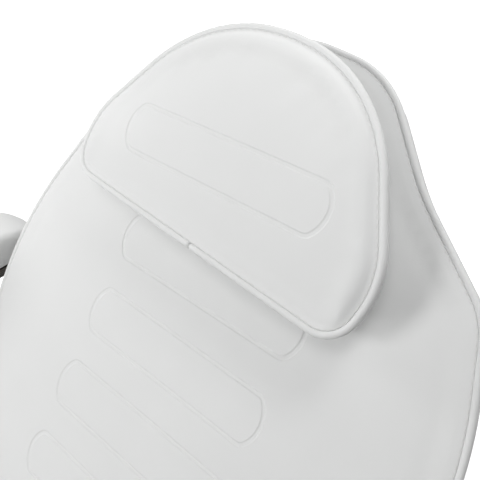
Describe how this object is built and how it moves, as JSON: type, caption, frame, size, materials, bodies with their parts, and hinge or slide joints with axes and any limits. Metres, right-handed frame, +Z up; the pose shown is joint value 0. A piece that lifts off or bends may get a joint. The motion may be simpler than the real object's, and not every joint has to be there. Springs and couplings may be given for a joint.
{
  "type": "beauty treatment chair",
  "caption": "Upholstered treatment chair on a round hydraulic pedestal, with a reclining back, a D-shaped head pillow, a hinged leg rest and padded armrests.",
  "frame": {"origin": "on the floor, on the axis of the pedestal", "axes": "+X to the right as seen from the foot end looking at the back, +Y towards the back rest, +Z up"},
  "size_m": [0.897, 1.4231, 1.1598],
  "materials": {
    "black_rubber": "matte",
    "chrome": "polished",
    "plain_steel": "satin",
    "black_paint": "satin",
    "white_paint": "satin",
    "dark_board": "matte",
    "upholstery_white": "satin",
    "piping_white": "satin",
    "fastening_tape": "matte",
    "black_plastic": "satin"
  },
  "bodies": {
    "base": {"floor_mat": "black_rubber", "base_plate": "plain_steel", "base_cover": "chrome", "base_bolts": "plain_steel", "pump_body": "black_paint", "pedal_pin": "plain_steel", "wiper_seal": "black_rubber", "column_sleeve_lower": "chrome"},
    "pedal": {"pedal_arm": "black_paint", "pedal_pad": "black_rubber"},
    "ram": {"ram": "plain_steel", "column_sleeve_upper": "chrome"},
    "seat": {"swivel_bearing": "plain_steel", "mounting_plate": "black_paint", "mounting_bolts": "plain_steel", "seat_rails": "white_paint", "seat_crosses": "white_paint", "hinge_brackets": "white_paint", "hinge_pins": "plain_steel", "strut_brackets": "black_paint", "seat_board": "dark_board", "seat_cushion": "upholstery_white", "seat_piping": "piping_white", "outrigger_left": "white_paint", "outrigger_right": "white_paint"},
    "back": {"back_rails": "white_paint", "back_crosses": "white_paint", "back_hinge_arms": "white_paint", "back_strut_lug": "white_paint", "back_board": "dark_board", "back_cushion": "upholstery_white", "back_piping": "piping_white", "loop_tapes": "fastening_tape"},
    "pillow": {"pillow_cushion": "upholstery_white", "pillow_piping": "piping_white", "hook_tapes": "fastening_tape"},
    "leg": {"leg_rails": "white_paint", "leg_crosses": "white_paint", "leg_hinge_arms": "white_paint", "leg_strut_lug": "white_paint", "leg_board": "dark_board", "leg_cushion": "upholstery_white", "leg_piping": "piping_white"},
    "arm_left": {"arm_post_left": "white_paint", "arm_board_left": "dark_board", "arm_pad_left": "upholstery_white"},
    "arm_right": {"arm_post_right": "white_paint", "arm_board_right": "dark_board", "arm_pad_right": "upholstery_white"},
    "knob_left": {"arm_knob_left": "black_plastic"},
    "knob_right": {"arm_knob_right": "black_plastic"},
    "back_strut": {"back_strut_body": "black_paint"},
    "back_strut_piston": {"back_strut_rod": "plain_steel"},
    "leg_strut": {"leg_strut_body": "black_paint"},
    "leg_strut_piston": {"leg_strut_rod": "plain_steel"},
    "back_lever_unit": {"back_lever": "plain_steel", "back_lever_grip": "black_plastic"},
    "leg_lever_unit": {"leg_lever": "plain_steel", "leg_lever_grip": "black_plastic"}
  },
  "joints": [
    {"name": "lift", "type": "slide", "parent": "base", "child": "ram", "axis": [0, 0, 1], "range_m": [0, 0.16]},
    {"name": "swivel", "type": "hinge", "parent": "ram", "child": "seat", "pos_m": [0, 0, 0.449], "axis": [0, 0, 1], "continuous": true},
    {"name": "back_recline", "type": "hinge", "parent": "seat", "child": "back", "pos_m": [0, 0.25, 0.58], "axis": [1, 0, 0], "range_deg": [-51, 19]},
    {"name": "leg_rest", "type": "hinge", "parent": "seat", "child": "leg", "pos_m": [0, -0.256, 0.485], "axis": [1, 0, 0], "range_deg": [-40, 15]},
    {"name": "pillow_lift_off", "type": "slide", "parent": "back", "child": "pillow", "axis": [0, -0.7771, 0.6293], "range_m": [0, 0.12]},
    {"name": "pedal_stroke", "type": "hinge", "parent": "base", "child": "pedal", "pos_m": [0, 0.078, 0.1], "axis": [1, 0, 0], "range_deg": [-12, 0], "stiffness_Nm_per_rad": 25, "springref_deg": 14.32},
    {"name": "arm_height_left", "type": "slide", "parent": "seat", "child": "arm_left", "axis": [0, 0, 1], "range_m": [0, 0.08]},
    {"name": "arm_height_right", "type": "slide", "parent": "seat", "child": "arm_right", "axis": [0, 0, 1], "range_m": [0, 0.08]},
    {"name": "knob_turn_left", "type": "hinge", "parent": "seat", "child": "knob_left", "pos_m": [-0.43, 0.2025, 0.525], "axis": [1, 0, 0], "continuous": true},
    {"name": "knob_turn_right", "type": "hinge", "parent": "seat", "child": "knob_right", "pos_m": [0.43, 0.2025, 0.525], "axis": [1, 0, 0], "continuous": true},
    {"name": "back_strut_swing", "type": "hinge", "parent": "seat", "child": "back_strut", "pos_m": [0.1115, 0, 0.388], "axis": [1, 0, 0], "range_deg": [-9.53, 3.86]},
    {"name": "back_strut_stroke", "type": "slide", "parent": "back_strut", "child": "back_strut_piston", "axis": [0, 0.9511, 0.3088], "range_m": [-0.1107, 0.0419]},
    {"name": "leg_strut_swing", "type": "hinge", "parent": "seat", "child": "leg_strut", "pos_m": [-0.1115, -0.09, 0.438], "axis": [1, 0, 0], "range_deg": [-12.21, 4.89]},
    {"name": "leg_strut_stroke", "type": "slide", "parent": "leg_strut", "child": "leg_strut_piston", "axis": [0, -0.9845, -0.1754], "range_m": [-0.0178, 0.0459]},
    {"name": "back_release", "type": "hinge", "parent": "seat", "child": "back_lever_unit", "pos_m": [0.3, 0.07, 0.485], "axis": [1, 0, 0], "range_deg": [-20, 0], "stiffness_Nm_per_rad": 2, "springref_deg": 17.19},
    {"name": "leg_release", "type": "hinge", "parent": "seat", "child": "leg_lever_unit", "pos_m": [0.3, -0.07, 0.485], "axis": [1, 0, 0], "range_deg": [-20, 0], "stiffness_Nm_per_rad": 2, "springref_deg": 17.19}
  ],
  "couplings": [
    {"joint": "back_strut_swing", "follows": "back_recline", "ratio": 0.17701},
    {"joint": "back_strut_stroke", "follows": "back_recline", "m_per_rad": 0.12325},
    {"joint": "leg_strut_swing", "follows": "leg_rest", "ratio": 0.29279},
    {"joint": "leg_strut_stroke", "follows": "leg_rest", "m_per_rad": -0.064319}
  ]
}
